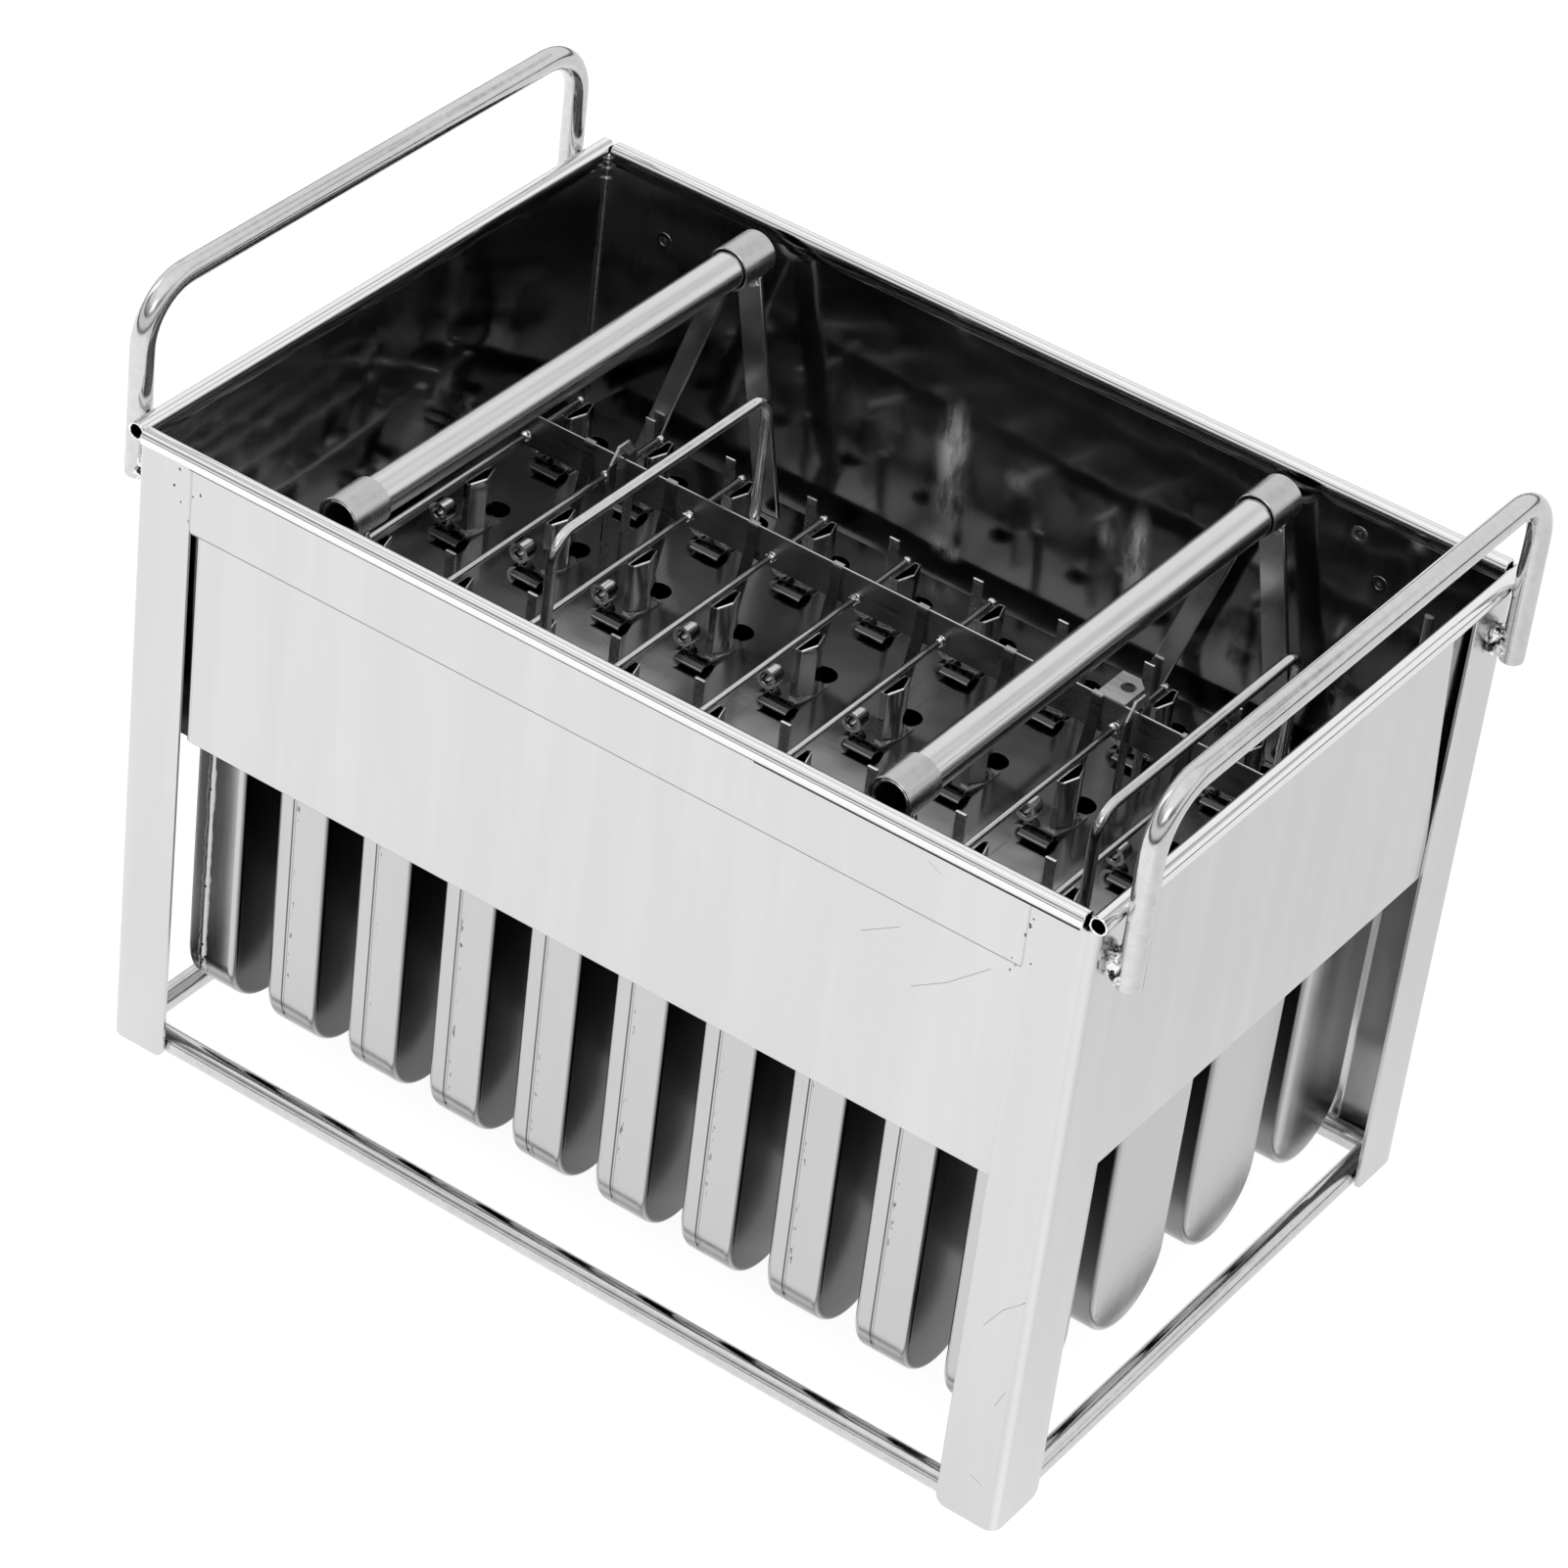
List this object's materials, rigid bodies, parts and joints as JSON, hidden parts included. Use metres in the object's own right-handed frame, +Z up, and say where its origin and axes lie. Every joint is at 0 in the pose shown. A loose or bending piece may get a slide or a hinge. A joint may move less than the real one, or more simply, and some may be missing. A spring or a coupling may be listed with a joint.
{
  "type": "ice pop mold",
  "caption": "Steel ice pop mold: a basin on folded legs with rows of hanging pockets, rod handles, and a lift-out stick holder whose sliding clamp grips the sticks.",
  "frame": {"origin": "centre of the bounding box in X and Y, on the ground under the legs and base rails", "axes": "+X along the length, with a carry handle at each end; +Y across, away from the side shown in front; +Z up"},
  "size_m": [0.392, 0.2544, 0.2937],
  "materials": {
    "basin_wall": "mirror-like rolled sheet with blurred reflections",
    "pocket_sheet": "satin rolled sheet with weld seams",
    "outer_sheet": "bright satin sheet with fine scratches",
    "steel_rod": "polished round rod",
    "holder_sheet": "dark mirror-like sheet",
    "clip_sheet": "bright formed strip",
    "grip_tube": "polished tube and bar"
  },
  "bodies": {
    "mold": {"wall_front": "basin_wall", "wall_rear": "basin_wall", "wall_left": "basin_wall", "wall_right": "basin_wall", "basin_floor": "basin_wall", "pocket_row_1": "pocket_sheet", "pocket_row_2": "pocket_sheet", "pocket_row_3": "pocket_sheet", "pocket_row_4": "pocket_sheet", "panel_front": "outer_sheet", "panel_rear": "outer_sheet", "panel_left": "outer_sheet", "panel_right": "outer_sheet", "band_front": "outer_sheet", "band_rear": "outer_sheet", "leg_front_left": "outer_sheet", "leg_front_right": "outer_sheet", "leg_rear_left": "outer_sheet", "leg_rear_right": "outer_sheet", "base_rail_front": "steel_rod", "base_rail_rear": "steel_rod", "base_rail_left": "steel_rod", "base_rail_right": "steel_rod", "carry_handle_left": "steel_rod", "carry_handle_right": "steel_rod"},
    "holder": {"holder_plate": "holder_sheet", "strip_gates": "holder_sheet", "guide_posts": "holder_sheet", "stick_clips_row_1": "clip_sheet", "stick_clips_row_2": "clip_sheet", "stick_clips_row_3": "clip_sheet", "stick_clips_row_4": "clip_sheet", "grip_tube_left": "grip_tube", "grip_tube_right": "grip_tube", "grip_collars_left": "grip_tube", "grip_collars_right": "grip_tube", "grip_braces_left": "grip_tube", "grip_braces_right": "grip_tube"},
    "clamp": {"clamp_strip_front": "holder_sheet", "clamp_strip_rear": "holder_sheet", "clamp_rods": "steel_rod", "squeeze_handle_left": "steel_rod", "squeeze_handle_right": "steel_rod"}
  },
  "joints": [
    {"name": "holder_lift", "type": "slide", "parent": "mold", "child": "holder", "axis": [0, 0, 1], "range_m": [0, 0.15]},
    {"name": "clamp_slide", "type": "slide", "parent": "holder", "child": "clamp", "axis": [1, 0, 0], "range_m": [-0.008, 0.003]}
  ]
}
